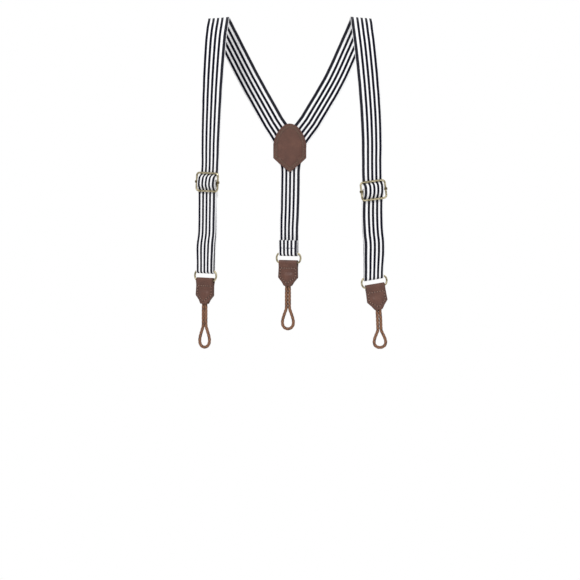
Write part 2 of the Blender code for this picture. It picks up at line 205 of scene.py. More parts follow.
def addNode(tree, kind, *values, named=None, **settings):
    # values go to the open sockets in order, named ones by name; gives the first open output
    node = tree.nodes.new(kind)
    for key, value in settings.items():
        setattr(node, key, value)
    pairs = list(zip([socket for socket in node.inputs if socket.enabled], values))
    pairs += [(node.inputs[key], value) for key, value in (named or {}).items()]
    for socket, value in pairs:
        if isinstance(value, bpy.types.NodeSocket):
            tree.links.new(value, socket)
        else:
            socket.default_value = value
    return next(socket for socket in node.outputs if socket.enabled)


weaveLook = {
    "white": "fcfcfd", "whiteGrooveShade": "e9eaee", "navy": "030312", "navyLight": "0f0f26",
    "firstStripe": 0.96, "pitch": 3.93, "stripeWide": 2.24, "softEdge": 0.10,  # mm
    "innerStart": 0.30, "innerEnd": 0.80, "innerLevel": 0.985,  # the inner stripe is wider and a little open
    "across": 20.0,  # mm, the whole width that the stripes are laid out on
    "rib": 1.3, "column": 0.62,  # mm; the real ribs are 0.7 mm, drawn coarser so that they show
}


def wovenElastic():
    # polyester elastic webbing, woven: dull, a little hairy, fine ribs across and columns along
    finish, tree, shader = newFinish("wovenElasticWebbing")
    look = weaveLook
    thread = addNode(tree, "ShaderNodeUVMap", uv_map="UVMap")  # millimetres, x across and y along
    across, along, _ = addNode(tree, "ShaderNodeSeparateXYZ", thread).node.outputs
    # the stripes' edges step from thread to thread
    ragged = addNode(tree, "ShaderNodeTexNoise", named={"Vector": thread, "Scale": 0.85, "Detail": 1.0})
    ragged = addNode(tree, "ShaderNodeMath", ragged, 0.5, operation="SUBTRACT")
    shifted = addNode(tree, "ShaderNodeMath", ragged, 0.30, across, operation="MULTIPLY_ADD")
    share = addNode(tree, "ShaderNodeMath", shifted, look["across"], operation="DIVIDE")
    stripes = addNode(tree, "ShaderNodeValToRGB", share)
    ramp = stripes.node.color_ramp
    stops = [(0.0, 0.0)]
    for i in range(5):
        left = look["firstStripe"] + look["pitch"] * i
        right = left + look["stripeWide"]
        soft, level = look["softEdge"], 1.0
        if i == 4:
            left, right, level = left + look["innerStart"], right + look["innerEnd"], look["innerLevel"]
        stops += [(left - soft, 0.0), (left + soft, level), (right - soft, level), (right + soft, 0.0)]
    ramp.elements.remove(ramp.elements[-1])
    for i, (where, level) in enumerate(stops):
        place = where / look["across"]
        element = ramp.elements[0] if i == 0 else ramp.elements.new(place)
        element.position = place
        element.color = (level, level, level, 1)
    # ribs across, half a rib on from column to column
    column = addNode(tree, "ShaderNodeMath", across, look["column"], operation="DIVIDE")
    whole = addNode(tree, "ShaderNodeMath", column, operation="FLOOR")
    turn = addNode(tree, "ShaderNodeMath", whole, math.pi, operation="MULTIPLY")
    wave = addNode(tree, "ShaderNodeMath", along, 2 * math.pi / look["rib"], turn, operation="MULTIPLY_ADD")
    rib = addNode(tree, "ShaderNodeMath", wave, operation="SINE")
    wave = addNode(tree, "ShaderNodeMath", column, math.pi, operation="MULTIPLY")
    wave = addNode(tree, "ShaderNodeMath", wave, operation="SINE")
    wave = addNode(tree, "ShaderNodeMath", wave, operation="ABSOLUTE")
    between = addNode(tree, "ShaderNodeMath", wave, 0.5, operation="POWER")
    raised = addNode(tree, "ShaderNodeMath", rib, 0.25, 0.75, operation="MULTIPLY_ADD")
    height = addNode(tree, "ShaderNodeMath", between, raised, operation="MULTIPLY")
    mottle = addNode(tree, "ShaderNodeTexNoise", named={"Vector": thread, "Scale": 0.35, "Detail": 3.0})
    # painted shade: the white turns greyer where the ribs and columns sink, in the grooves between them
    depth = addNode(tree, "ShaderNodeMath", height, 0.75, 0.25, operation="MULTIPLY_ADD")
    white = addNode(tree, "ShaderNodeMix", depth, hexColour(look["whiteGrooveShade"]), hexColour(look["white"]),
                    data_type="RGBA")
    # the navy is lighter in random patches, and there only on the raised ribs: random tone with painted light on
    # the rib crests
    navyMottleAndCrestLight = addNode(tree, "ShaderNodeMath", mottle, height, operation="MULTIPLY")
    navy = addNode(tree, "ShaderNodeMix", navyMottleAndCrestLight, hexColour(look["navy"]), hexColour(look["navyLight"]),
                   data_type="RGBA")
    colour = addNode(tree, "ShaderNodeMix", stripes, white, navy, data_type="RGBA")
    tree.links.new(colour, shader.inputs["Base Color"])
    bump = addNode(tree, "ShaderNodeBump", named={"Height": height, "Strength": 0.5, "Distance": 0.12 * mm})
    tree.links.new(bump, shader.inputs["Normal"])
    shader.inputs["Roughness"].default_value = 0.9
    shader.inputs["Specular IOR Level"].default_value = 0.15
    shader.inputs["Sheen Weight"].default_value = 0.03
    shader.inputs["Sheen Roughness"].default_value = 0.5
    return finish


leatherLook = {"base": "603f34", "light": "694639", "dark": "583a30", "edge": "2e1b14"}


def tannedLeather():
    # smooth finished cowhide: satin, faint grain, darker burnished edges, and painted shade in the needle holes
    # and along the sewn line
    finish, tree, shader = newFinish("finishedBrownLeather")
    look = leatherLook
    place = addNode(tree, "ShaderNodeTexCoord").node.outputs["Object"]
    cloud = addNode(tree, "ShaderNodeTexNoise", named={
        "Vector": place, "Scale": 120.0, "Detail": 3.0, "Roughness": 0.5})
    grain = addNode(tree, "ShaderNodeTexVoronoi", named={"Vector": place, "Scale": 1 / (0.9 * mm)},
                    feature="SMOOTH_F1")
    pores = addNode(tree, "ShaderNodeTexNoise", named={
        "Vector": place, "Scale": 1 / (0.5 * mm), "Detail": 2.0})
    tone = addNode(tree, "ShaderNodeValToRGB", cloud)
    ramp = tone.node.color_ramp
    ramp.elements[0].position, ramp.elements[0].color = 0.30, hexColour(look["dark"])
    ramp.elements[1].position, ramp.elements[1].color = 0.72, hexColour(look["light"])
    ramp.elements.new(0.50).color = hexColour(look["base"])
    # painted shade: the grain's sunken cells are darkened towards the edge colour
    grainHollowShade = addNode(tree, "ShaderNodeMapRange", named={
        "Value": grain, "From Min": 0.0, "From Max": 0.6, "To Min": 0.10, "To Max": 0.0})
    grained = addNode(tree, "ShaderNodeMix", grainHollowShade, tone, hexColour(look["edge"]), data_type="RGBA")
    # the dyed rims and the painted shade in the sewn lines and needle holes are taken to the edge colour
    rubbed = addNode(tree, "ShaderNodeAttribute", attribute_name="rimDyeAndSeamShade").node.outputs["Fac"]
    colour = addNode(tree, "ShaderNodeMix", rubbed, grained, hexColour(look["edge"]), data_type="RGBA")
    tree.links.new(colour, shader.inputs["Base Color"])
    low = addNode(tree, "ShaderNodeMath", grain, 0.8, operation="MULTIPLY")
    height = addNode(tree, "ShaderNodeMath", pores, 0.4, low, operation="MULTIPLY_ADD")
    bump = addNode(tree, "ShaderNodeBump", named={"Height": height, "Strength": 0.30, "Distance": 0.10 * mm})
    tree.links.new(bump, shader.inputs["Normal"])
    rough = addNode(tree, "ShaderNodeMath", cloud, 0.18, 0.44, operation="MULTIPLY_ADD")
    tree.links.new(rough, shader.inputs["Roughness"])
    shader.inputs["Specular IOR Level"].default_value = 0.42
    return finish


brassLook = {"rubbed": "d8cdae", "plain": "a99e7e", "tarnish": "5a5039"}
darkBrassLook = {"rubbed": "8d8062", "plain": "5b513c", "tarnish": "37301f"}


def antiqueBrass(name, look):
    # brass-plated steel wire, antiqued and rubbed: pale olive gold, browner where it is not rubbed
    finish, tree, shader = newFinish(name)
    place = addNode(tree, "ShaderNodeTexCoord").node.outputs["Object"]
    patches = addNode(tree, "ShaderNodeTexNoise", named={
        "Vector": place, "Scale": 420.0, "Detail": 5.0, "Roughness": 0.65})
    tone = addNode(tree, "ShaderNodeValToRGB", patches)
    ramp = tone.node.color_ramp
    ramp.elements[0].position, ramp.elements[0].color = 0.30, hexColour(look["tarnish"])
    ramp.elements[1].position, ramp.elements[1].color = 0.66, hexColour(look["rubbed"])
    ramp.elements.new(0.47).color = hexColour(look["plain"])
    tree.links.new(tone, shader.inputs["Base Color"])
    shader.inputs["Metallic"].default_value = 1.0
    rough = addNode(tree, "ShaderNodeMapRange", named={
        "Value": patches, "From Min": 0.3, "From Max": 0.7, "To Min": 0.50, "To Max": 0.30})
    tree.links.new(rough, shader.inputs["Roughness"])
    scratches = addNode(tree, "ShaderNodeTexNoise", named={"Vector": place, "Scale": 1600.0, "Detail": 3.0})
    bump = addNode(tree, "ShaderNodeBump", named={
        "Height": scratches, "Strength": 0.18, "Distance": 0.05 * mm})
    tree.links.new(bump, shader.inputs["Normal"])
    return finish


cordLook = {"tan": "895b3d", "light": "9f7052", "dark": "4a3225", "grooveShade": "3a251b", "strands": 4.0}


def braidedCord():
    # waxed cotton cord, braided from eight strands, one of them dark: flecks that climb round it
    finish, tree, shader = newFinish("braidedTanCord")
    look = cordLook
    place = addNode(tree, "ShaderNodeUVMap", uv_map="UVMap")  # x once round, y in lays of the braid
    turns, lays, _ = addNode(tree, "ShaderNodeSeparateXYZ", place).node.outputs
    aroundIt = addNode(tree, "ShaderNodeMath", turns, look["strands"], operation="MULTIPLY")
    rightHand = addNode(tree, "ShaderNodeMath", aroundIt, lays, operation="ADD")
    leftHand = addNode(tree, "ShaderNodeMath", aroundIt, lays, operation="SUBTRACT")
    ridges, wholes = [], []
    for hand in (rightHand, leftHand):
        wave = addNode(tree, "ShaderNodeMath", hand, math.pi, operation="MULTIPLY")
        wave = addNode(tree, "ShaderNodeMath", wave, operation="SINE")
        ridges.append(addNode(tree, "ShaderNodeMath", wave, operation="ABSOLUTE"))
        wholes.append(addNode(tree, "ShaderNodeMath", hand, operation="FLOOR"))
    plait = addNode(tree, "ShaderNodeMath", *ridges, operation="MULTIPLY")
    both = addNode(tree, "ShaderNodeMath", *wholes, operation="ADD")
    onTop = addNode(tree, "ShaderNodeMath", both, 2.0, operation="FLOORED_MODULO")
    onTop = addNode(tree, "ShaderNodeMath", onTop, 0.5, operation="LESS_THAN")
    tracer = addNode(tree, "ShaderNodeMath", wholes[0], look["strands"], operation="FLOORED_MODULO")
    tracer = addNode(tree, "ShaderNodeMath", tracer, 0.5, operation="LESS_THAN")
    fleck = addNode(tree, "ShaderNodeMath", onTop, tracer, operation="MULTIPLY")
    fleck = addNode(tree, "ShaderNodeMath", fleck, 0.8, operation="MULTIPLY")
    fibre = addNode(tree, "ShaderNodeTexNoise", named={"Vector": place, "Scale": 6.0, "Detail": 4.0})
    strand = addNode(tree, "ShaderNodeMix", fibre, hexColour(look["tan"]), hexColour(look["light"]),
                     data_type="RGBA")
    strand = addNode(tree, "ShaderNodeMix", fleck, strand, hexColour(look["dark"]), data_type="RGBA")
    # painted shade: the braid's colour falls to a dark brown in the grooves between the strands
    outOfGrooveShade = addNode(tree, "ShaderNodeMath", plait, 0.45, operation="POWER")
    colour = addNode(tree, "ShaderNodeMix", outOfGrooveShade, hexColour(look["grooveShade"]), strand, data_type="RGBA")
    tree.links.new(colour, shader.inputs["Base Color"])
    height = addNode(tree, "ShaderNodeMath", fibre, 0.3, plait, operation="MULTIPLY_ADD")
    bump = addNode(tree, "ShaderNodeBump", named={"Height": height, "Strength": 0.5, "Distance": 0.15 * mm})
    tree.links.new(bump, shader.inputs["Normal"])
    shader.inputs["Roughness"].default_value = 0.72
    shader.inputs["Sheen Weight"].default_value = 0.1
    return finish


def sewingThread(name, first, second):
    # twisted polyester thread: soft sheen, two tones where the twist turns
    finish, tree, shader = newFinish(name)
    place = addNode(tree, "ShaderNodeTexCoord").node.outputs["Object"]
    twist = addNode(tree, "ShaderNodeTexNoise", named={"Vector": place, "Scale": 700.0, "Detail": 2.0})
    colour = addNode(tree, "ShaderNodeMix", twist, hexColour(first), hexColour(second), data_type="RGBA")
    tree.links.new(colour, shader.inputs["Base Color"])
    bump = addNode(tree, "ShaderNodeBump", named={"Height": twist, "Strength": 0.3, "Distance": 0.08 * mm})
    tree.links.new(bump, shader.inputs["Normal"])
    shader.inputs["Roughness"].default_value = 0.6
    return finish


# The worn shape, the same numbers as the part's own
worn = {
    "chestY": -0.0350,
    "backY": 0.0350,
    "webbingWide": 0.0200,
    "webbingThick": 0.0012,
    "foldWide": 0.0184,
    "sliderWide": 0.0192,
    "backWide": 0.0180,
    "gap": 0.0003,
    "blendTop": -0.034,  # where a front strap starts to follow its adjuster
    "blendLean": 1.3,
}
# Each strap over a shoulder: (out from the middle, y, z, rise of the inner edge, turn of the inner edge)
leftShoulder = [
    (0.0152, 0.0350, -0.0923, 30.0, 0), (0.0353, 0.0350, -0.0563, 28.5, 0), (0.0500, 0.0350, -0.0280, 27, 0),
    (0.0572, 0.0303, -0.0137, 23, 8), (0.0625, 0.0175, -0.0032, 15, 8), (0.0644, 0.0000, 0.0006, 5, 4),
    (0.0650, -0.0175, -0.0032, -1, 2), (0.0665, -0.0303, -0.0137, -5, 5),
]
rightShoulder = [
    (0.0183, 0.0350, -0.0923, 33.0, 0), (0.0394, 0.0350, -0.0563, 28.0, 0), (0.0526, 0.0350, -0.0280, 24, 0),
    (0.0588, 0.0303, -0.0137, 21, 8), (0.0634, 0.0175, -0.0032, 14, 8), (0.0645, 0.0000, 0.0006, 6, 4),
    (0.0652, -0.0175, -0.0032, -1, 2), (0.0664, -0.0303, -0.0137, -5, 3),
]
# Each front strap down the chest: (z, out from the middle, turn)
leftChest = [
    (-0.0280, 0.0677, 10), (-0.0560, 0.0694, 19), (-0.0850, 0.0706, 26), (-0.1100, 0.0714, 31),
    (-0.1300, 0.0717, 35), (-0.1390, 0.0721, 35), (-0.1481, 0.0732, 35), (-0.1570, 0.0744, 36),
    (-0.1700, 0.0746, 37), (-0.1850, 0.0748, 38), (-0.1950, 0.0751, 38), (-0.2060, 0.0763, 36),
    (-0.2281, 0.0766, 34), (-0.2560, 0.0770, 34),
]
rightChest = [
    (-0.0280, 0.0681, 5), (-0.0560, 0.0708, 9), (-0.0850, 0.0729, 12), (-0.1100, 0.0738, 17),
    (-0.1300, 0.0738, 20), (-0.1445, 0.0740, 20), (-0.1555, 0.0747, 19), (-0.1665, 0.0747, 18),
    (-0.1750, 0.0746, 18), (-0.1850, 0.0748, 18), (-0.1950, 0.0754, 18), (-0.2060, 0.0763, 18),
    (-0.2337, 0.0757, 12), (-0.2620, 0.0755, 12),
]
# Back strap: (z, x, turn)
backRoute = [
    (-0.1260, 0.0005, 0), (-0.1450, 0.0004, 2), (-0.1700, 0.0000, 8),
    (-0.1900, -0.0006, 15), (-0.2100, -0.0004, 20), (-0.2120, -0.0003, 20),
]
leftSide = dict(name="left", side=-1, adjusterZ=-0.1481, ringZ=-0.2281, adjusterRise=-3.0, ringRise=-2.5,
                loopRise=0.0, lean=2.4, stem=0.0180, loopHigh=0.0193, yokeEnd=(0.0004, -0.1070, 31.0, 32.5))
rightSide = dict(name="right", side=1, adjusterZ=-0.1555, ringZ=-0.2337, adjusterRise=7.5, ringRise=9.4,
                 loopRise=2.2, lean=1.8, stem=0.0167, loopHigh=0.0157, yokeEnd=(0.0006, -0.1093, 36.0, 28))
backSide = dict(name="back", ringZ=-0.2120, ringRise=-1.5, loopRise=0.0,
                stem=0.0185, loopHigh=0.0188, tail=0.0120)

# The webbing's way through an adjuster, as shares: (depth in front, height), 1 up is the frame's upper wire
weave = [
    (0, 1.36), (0, 1.10), (0.03, 0.90), (0.22, 0.77), (0.62, 0.64), (0.92, 0.48), (1, 0.27), (1, 0),
    (0.96, -0.20), (0.76, -0.44), (0.38, -0.667), (0.05, -0.855), (0, -1.0), (0, -1.36),
]
endRise = [(0, -1.36), (0, -0.97), (0.13, -0.734), (0.49, -0.537), (0.83, -0.328), (0.96, -0.158), (1, 0)]
endTail = [(0, 0), (0.13, -0.226), (0.50, -0.508), (0.93, -0.79), (1, -1.02), (1, -1.70)]
plies = {"barShare": 2.68, "climb": 1.65, "slantGap": 0.00012}


class ChestStrap:
    # one front strap on the chest: its middle, width and face at each height

    def __init__(self, where, rows):
        self.side, self.where, self.rows = where["side"], where, rows
        self.adjusterZ, self.ringZ = where["adjusterZ"], where["ringZ"]

    def turn(self, z):
        return atHeight(self.rows, z)[2]

    def nearFrame(self, z):
        return smoothStep(1 - (abs(z - self.adjusterZ) - 0.010) / 0.016)

    def middle(self, z):
        _, out, turn = atHeight(self.rows, z)
        shift = out - atHeight(self.rows, self.adjusterZ)[1]
        level = shift * math.tan(math.radians(turn)) * self.nearFrame(z)
        return Vector((self.side * out, worn["chestY"] + level, z))

    def width(self, z):
        atRing = smoothStep(1 - (z - self.ringZ - 0.004) / 0.020)
        atFrame = smoothStep(1 - (abs(z - self.adjusterZ) - 0.004) / 0.008)
        full = worn["webbingWide"]
        return full + (worn["foldWide"] - full) * atRing + (worn["sliderWide"] - full) * atFrame

    def rise(self, z):
        own = -self.where["lean"]
        level = -self.side * self.where["adjusterRise"]
        low = -self.side * self.where["ringRise"]
        nearRing = smoothStep(1 - (z - self.ringZ - 0.004) / 0.030)
        return own + (level - own) * self.nearFrame(z) + (low - own) * nearRing

    def station(self, z, forward=0.0):
        turn = self.turn(z)
        across = acrossVector(self.side, self.rise(z), turn) * self.width(z)
        return self.middle(z) + outward(self.side, turn) * forward, across

    def run(self, top, bottom, startForward, endForward, step=0.0015):
        count = max(2, round(abs(top - bottom) / step))
        shares = [i / count for i in range(count + 1)]
        return [self.station(top + (bottom - top) * t, startForward + (endForward - startForward) * t)
                for t in shares]


def evenStations(stations, step):
    # the same route with its stations a step apart: (middle, across, distance along)
    lengths = [0.0]
    for (a, _), (b, _) in zip(stations, stations[1:]):
        lengths.append(lengths[-1] + (b - a).length)
    count = max(2, round(lengths[-1] / step))
    found, k = [], 0
    for i in range(count + 1):
        d = lengths[-1] * i / count
        while k < len(lengths) - 2 and lengths[k + 1] < d:
            k += 1
        t = (d - lengths[k]) / max(1e-9, lengths[k + 1] - lengths[k])
        (middle, across), (nextMiddle, nextAcross) = stations[k], stations[k + 1]
        found.append((middle.lerp(nextMiddle, t), across.lerp(nextAcross, t), d))
    return found


def setUvs(mesh, uvs):
    # uvs holds (u, v) by vertex
    layer = mesh.uv_layers["UVMap"] if "UVMap" in mesh.uv_layers else mesh.uv_layers.new(name="UVMap")
    for corner in mesh.loops:
        layer.data[corner.index].uv = uvs[corner.vertex_index]


webbing = {"columns": 20, "step": 0.0011, "edge": 0.00035, "ripple": 0.006, "crown": 0.00012}


def webbingPiece(name, stations, finish, startAlong=0.0):
    route = evenStations(stations, webbing["step"])
    rows = len(route) - 1
    deselectAll()
    bpy.ops.mesh.primitive_grid_add(x_subdivisions=webbing["columns"], y_subdivisions=rows, size=1)
    piece = takeNew(name)
    mesh = piece.data
    uvs = {}
    for v in mesh.vertices:
        u, row = v.co.x, round((v.co.y + 0.5) * rows)
        middle, wide, distance = route[row]
        before, after = route[max(0, row - 1)][0], route[min(rows, row + 1)][0]
        facing = wide.cross(after - before).normalized()
        # the woven edges are never quite straight, and the face is a little crowned
        ripple = 1 + webbing["ripple"] * math.sin(distance / 0.0031) * math.sin(distance / 0.0187 + 1.7)
        crown = webbing["crown"] * (1 - 4 * u * u)
        v.co = middle + wide * (u * ripple) + facing * crown
        uvs[v.index] = ((u + 0.5) * weaveLook["across"], (startAlong + distance) * 1000)
    setUvs(mesh, uvs)
    applyModifier(piece, "SOLIDIFY", thickness=worn["webbingThick"], offset=0, use_even_offset=True)
    applyModifier(piece, "BEVEL", width=webbing["edge"], segments=2, limit_method="ANGLE",
                  angle_limit=math.radians(60))
    print(name, "length", round(route[-1][2] * 1000, 1), "mm", len(mesh.polygons), "faces")
    return finishPiece(piece, finish, 50), route[-1][2]


def shoulderStations(chest, rows, bottom):
    cornerOut, z, rise, cut = chest.where["yokeEnd"]
    side = chest.side
    across = acrossVector(side, rise + cut, 0) * worn["webbingWide"] / math.cos(math.radians(cut))
    found = [(Vector((side * (cornerOut + abs(across.x) / 2), worn["backY"], z)), across)]
    lean = chest.where["lean"]
    chestRows = [(u, worn["chestY"], height, -lean - 2.5 * (height > -0.04), turn)
                 for height, u, turn in chest.rows[:5]]
    for row in smoothRows([*rows, *chestRows], 20):
        if row[1] <= worn["chestY"] + 1e-6 and row[2] < bottom + 0.030:
            break
        across = acrossVector(side, row[3], row[4]) * worn["webbingWide"]
        found.append((Vector((side * row[0], row[1], row[2])), across))
    top = found[-1][0].z
    return found + chest.run(top, bottom, 0, 0)[1:]


def frontWebbing(where, shoulderRows, chestRows, finish):
    name, side = where["name"], where["side"]
    chest = ChestStrap(where, chestRows)
    level = adjuster["high"] / 2
    thick = worn["webbingThick"]
    seat = adjuster["wire"] + adjuster["frameGap"] + thick / 2 - adjuster["barBack"]  # of the bar
    wrapRadius = adjuster["wire"] + worn["gap"] + thick / 2
    steep = plies["climb"] * (seat + wrapRadius) / level
    ply = thick * math.hypot(1, steep) + plies["slantGap"]  # plies that climb side by side take more depth
    overBar = plies["barShare"] * (wrapRadius + ply)
    around = foldRadius(thick)
    seam, below = chest.adjusterZ + level, chest.adjusterZ + weave[-1][1] * level
    foldTop = chest.ringZ + 0.008

    overShoulder = shoulderStations(chest, shoulderRows, seam)
    upper, upperLong = webbingPiece(f"{name}_upper_webbing", overShoulder, finish)
    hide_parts(f"{name}_strap_shoulder", f"{name}_strap_travel")
    # the blend runs down the chest and out of it, so that the back of the strap is all before its start
    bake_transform(upper)

    def woven(shape, start, end):
        rows = [(share, up * (overBar if 0 < up < 0.5 else level)) for share, up in shape]
        return [chest.station(chest.adjusterZ + up, start + (end - start) * share)
                for share, up in smoothRows(rows, 14)]

    front = [s for s in woven(weave, 0, seat + wrapRadius + ply) if s[0].z <= seam + 1e-6]
    front += chest.run(below, chest.ringZ, 0, 0)[1:-1]
    turned = [chest.station(chest.ringZ + p.y, -around + p.x) for p in arcPoints((0, 0), around, 0, -180, 24)]
    back = chest.run(chest.ringZ, foldTop, -2 * around, -2 * around)[1:]
    back += chest.run(foldTop, below, -2 * around, -ply)[1:]
    back += woven(endRise, -ply, seat + wrapRadius)[1:-1]
    back += [chest.station(chest.adjusterZ + p.y, p.x) for p in arcPoints((seat, 0), wrapRadius, 0, 180, 24)]
    back += woven(endTail, seat - wrapRadius, -2 * ply)[1:]
    lower, lowerLong = webbingPiece(f"{name}_lower_webbing", front + turned + back, finish, upperLong)
    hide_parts(f"{name}_strap_front_ply", f"{name}_strap_ring_fold", f"{name}_strap_back_ply")
    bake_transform(lower)

    # the sewn end behind: two rows of thread across the tail
    marks = []
    for up in (-1.30, -1.52):
        z = chest.adjusterZ + up * level
        middle, across = chest.station(z, -2 * ply - thick / 2 - 0.0001)
        marks += rowOfMarks(middle, across, -outward(side, chest.turn(z)), 4, 2.0 * mm, 1.5 * mm)
    sewing = sewStitches(f"{name}_tail_stitches", marks, navyThread)
    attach(sewing, f"{name}_adjuster")


def backWebbing(finish):
    around = foldRadius(worn["webbingThick"])
    rise, low = backSide["ringRise"], backSide["ringZ"]

    def station(z, forward=0.0):
        _, x, turn = atHeight(backRoute, z)
        narrow = smoothStep((z - backRoute[0][0]) / -0.012)
        across = acrossVector(-1, rise * smoothStep((-0.180 - z) / 0.03), turn)
        middle = Vector((x, worn["backY"], z)) + outward(-1, turn) * forward
        return middle, across * (worn["webbingWide"] + (worn["backWide"] - worn["webbingWide"]) * narrow)

    top = backRoute[0][0]
    count = 70
    stations = [station(top + (low - top) * i / count) for i in range(count)]
    stations += [station(low + p.y, around + p.x) for p in arcPoints((0, 0), around, 180, 360, 24)]
    stations += [station(low + backSide["tail"] * i / 8, 2 * around) for i in range(1, 9)]
    strap, long = webbingPiece("back_webbing", stations, finish)
    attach(strap, "harness")
    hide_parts("back_strap")
    z = low + 0.0048  # the row that holds the fold, seen on both faces
    facing = outward(-1, atHeight(backRoute, z)[2])
    middle, across = station(z, 2 * around + worn["webbingThick"] / 2 + 0.0001)
    marks = rowOfMarks(middle, across, facing, 5, 1.5 * mm, 1.35 * mm)
    middle, across = station(z, -worn["webbingThick"] / 2 - 0.0001)
    marks += rowOfMarks(middle, across, -facing, 5, 1.5 * mm, 1.35 * mm)
    sewing = sewStitches("back_fold_stitches", marks, navyThread)
    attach(sewing, "harness")


def rowOfMarks(middle, across, facing, each, pitch, long):
    across = across.normalized()
    return [(middle + across * (k * pitch), across, facing, long) for k in range(-each, each + 1)]


def sewStitches(name, marks, finish, thick=0.26 * mm):
    # marks are (middle, direction, surface normal, length)
    deselectAll()
    bpy.ops.mesh.primitive_uv_sphere_add(segments=8, ring_count=6, radius=1)
    first = takeNew(name + "_one")
    copies = []
    for middle, direction, normal, long in marks:
        x = direction.normalized()
        z = (normal - x * normal.dot(x)).normalized()
        turn = Matrix((x, z.cross(x), z)).transposed().to_4x4()
        copy = bpy.data.objects.new(name, first.data.copy())
        # a bar of thread with round ends, pressed flat and dipping where it goes in
        for v in copy.data.vertices:
            end, high = v.co.x, 0.8 * v.co.z - 0.45 * v.co.x ** 2
            v.co = Vector((end * long / 2, v.co.y * thick * 1.15, high * thick))
        copy.data.transform(Matrix.Translation(middle) @ turn)
        bpy.context.scene.collection.objects.link(copy)
        copies.append(copy)
    bpy.data.objects.remove(first)
    deselectAll()
    for copy in copies:
        copy.select_set(True)
    bpy.context.view_layer.objects.active = copies[0]
    bpy.ops.object.join()
    return finishPiece(takeNew(name), finish, 60)


def wirePiece(name, outline, radius, placing, finish, around=14):
    # a torus whose middle line is laid along a closed outline of (x, z) points
    count = len(outline)
    deselectAll()
    bpy.ops.mesh.primitive_torus_add(major_segments=count, minor_segments=around,
                                     major_radius=1, minor_radius=0.1)
    piece = takeNew(name)
    for v in piece.data.vertices:
        turn = math.atan2(v.co.y, v.co.x)
        k = round(turn / (2 * math.pi) * count) % count
        outside = (math.hypot(v.co.x, v.co.y) - 1) / 0.1
        here, before, after = outline[k], outline[k - 1], outline[(k + 1) % count]
        along = (after - before).normalized()
        out = Vector((along.y, -along.x))
        point = Vector((here.x, 0, here.y)) + Vector((out.x, 0, out.y)) * (outside * radius)
        v.co = placing @ (point + Vector((0, -v.co.z / 0.1 * radius, 0)))
    cleanNormals(piece)
    return finishPiece(piece, finish, 80)


def evenOutline(points, step):
    points = points + [points[0]]
    lengths = [0.0]
    for a, b in zip(points, points[1:]):
        lengths.append(lengths[-1] + (b - a).length)
    count, found, k = round(lengths[-1] / step), [], 0
    for i in range(count):
        d = lengths[-1] * i / count
        while lengths[k + 1] < d:
            k += 1
        found.append(points[k].lerp(points[k + 1], (d - lengths[k]) / max(1e-9, lengths[k + 1] - lengths[k])))
    return found


adjuster = {
    "wide": 0.0233, "high": 0.0162, "corner": 0.0027, "wire": 0.0009, "frameGap": 0.00045, "step": 0.00055,
    "barBack": 0.0016, "sleeveWall": 0.0006, "sleeveHigh": 0.0022, "sleeveGap": 0.0001,
}


def frameOutline():
    x, z = adjuster["wide"] / 2 - adjuster["corner"], adjuster["high"] / 2 - adjuster["corner"]
    points = []
    for start, (sx, sz) in zip((0, 90, 180, 270), ((1, 1), (-1, 1), (-1, -1), (1, -1))):
        points += arcPoints((sx * x, sz * z), adjuster["corner"], start, start + 90, 12)
    return evenOutline(points, adjuster["step"])


ring = {"straight": 0.0194, "high": 0.0084, "bulge": 0.0020, "wire": 0.00085, "step": 0.0005}


def foldRadius(thick):
    # from the ring's wire to the middle of what is folded round it
    return ring["wire"] + worn["gap"] + thick / 2


def ringOutline():
    half, bulge = ring["high"] / 2, ring["bulge"]
    radius = (half * half + bulge * bulge) / (2 * bulge)
    spread = math.degrees(math.asin(half / radius))
    middle = ring["straight"] / 2 + bulge - radius
    points = arcPoints((middle, -half), radius, -spread, spread, 20)
    points += arcPoints((-middle, -half), radius, 180 - spread, 180 + spread, 20)
    points = evenOutline(points, ring["step"])
    for _ in range(3):  # eases the corners as a bender would
        after = points[1:] + points[:1]
        points = [(points[i - 1] + points[i] * 2 + after[i]) / 4 for i in range(len(points))]
    return points


def addCylinder(name, radius, long, place, rotation=(0, 0, 0), vertices=28):
    deselectAll()
    bpy.ops.mesh.primitive_cylinder_add(vertices=vertices, radius=radius, depth=long, location=place,
                                        rotation=rotation)
    piece = takeNew(name)
    bpy.ops.object.transform_apply(location=True, rotation=True, scale=True)
    return piece


def adjusterBar(name, placing, finish):
    # a rod behind the frame, its ends rolled into sleeves round the side wires
    bore, reach = adjuster["wire"] + adjuster["sleeveGap"], adjuster["wide"] / 2
    rod = addCylinder(name, adjuster["wire"], 2 * reach,
                      (0, adjuster["barBack"], 0), (0, math.radians(90), 0))
    for sign in (-1, 1):
        place = (sign * reach, 0, 0)
        sleeve = addCylinder(name + "_sleeve", bore + adjuster["sleeveWall"], adjuster["sleeveHigh"], place)
        applyModifier(sleeve, "BEVEL", width=0.00028, segments=3, limit_method="ANGLE",
                      angle_limit=math.radians(50))
        hole = addCylinder(name + "_hole", bore, 2 * adjuster["sleeveHigh"], place)
        applyModifier(rod, "BOOLEAN", operation="UNION", solver="EXACT", object=sleeve)
        applyModifier(rod, "BOOLEAN", operation="DIFFERENCE", solver="EXACT", object=hole)
        bpy.data.objects.remove(sleeve)
        bpy.data.objects.remove(hole)
    rod.data.transform(placing)
    return finishPiece(rod, finish, 35)


tab = {
    "leather": 0.0013, "topWide": 0.0176, "wide": 0.0186, "neckWide": 0.0055, "side": 0.0135, "drop": 0.0212,
    "columns": 46, "step": 0.0004, "stitch": 2.5 * mm, "seamIn": 0.0017, "seamTop": 0.0050, "seamTip": 0.0186,
    # how dark, and how far out or deep: the dyed rim, and the painted shade along the sewn line and in its needle
    # holes
    "rimDark": 0.34, "rim": 0.0009, "lineDark": 0.20, "line": 0.0006, "holeDark": 1.1, "hole": 0.00066,
    "lineDeep": 0.00012, "holeDeep": 0.00024,
}


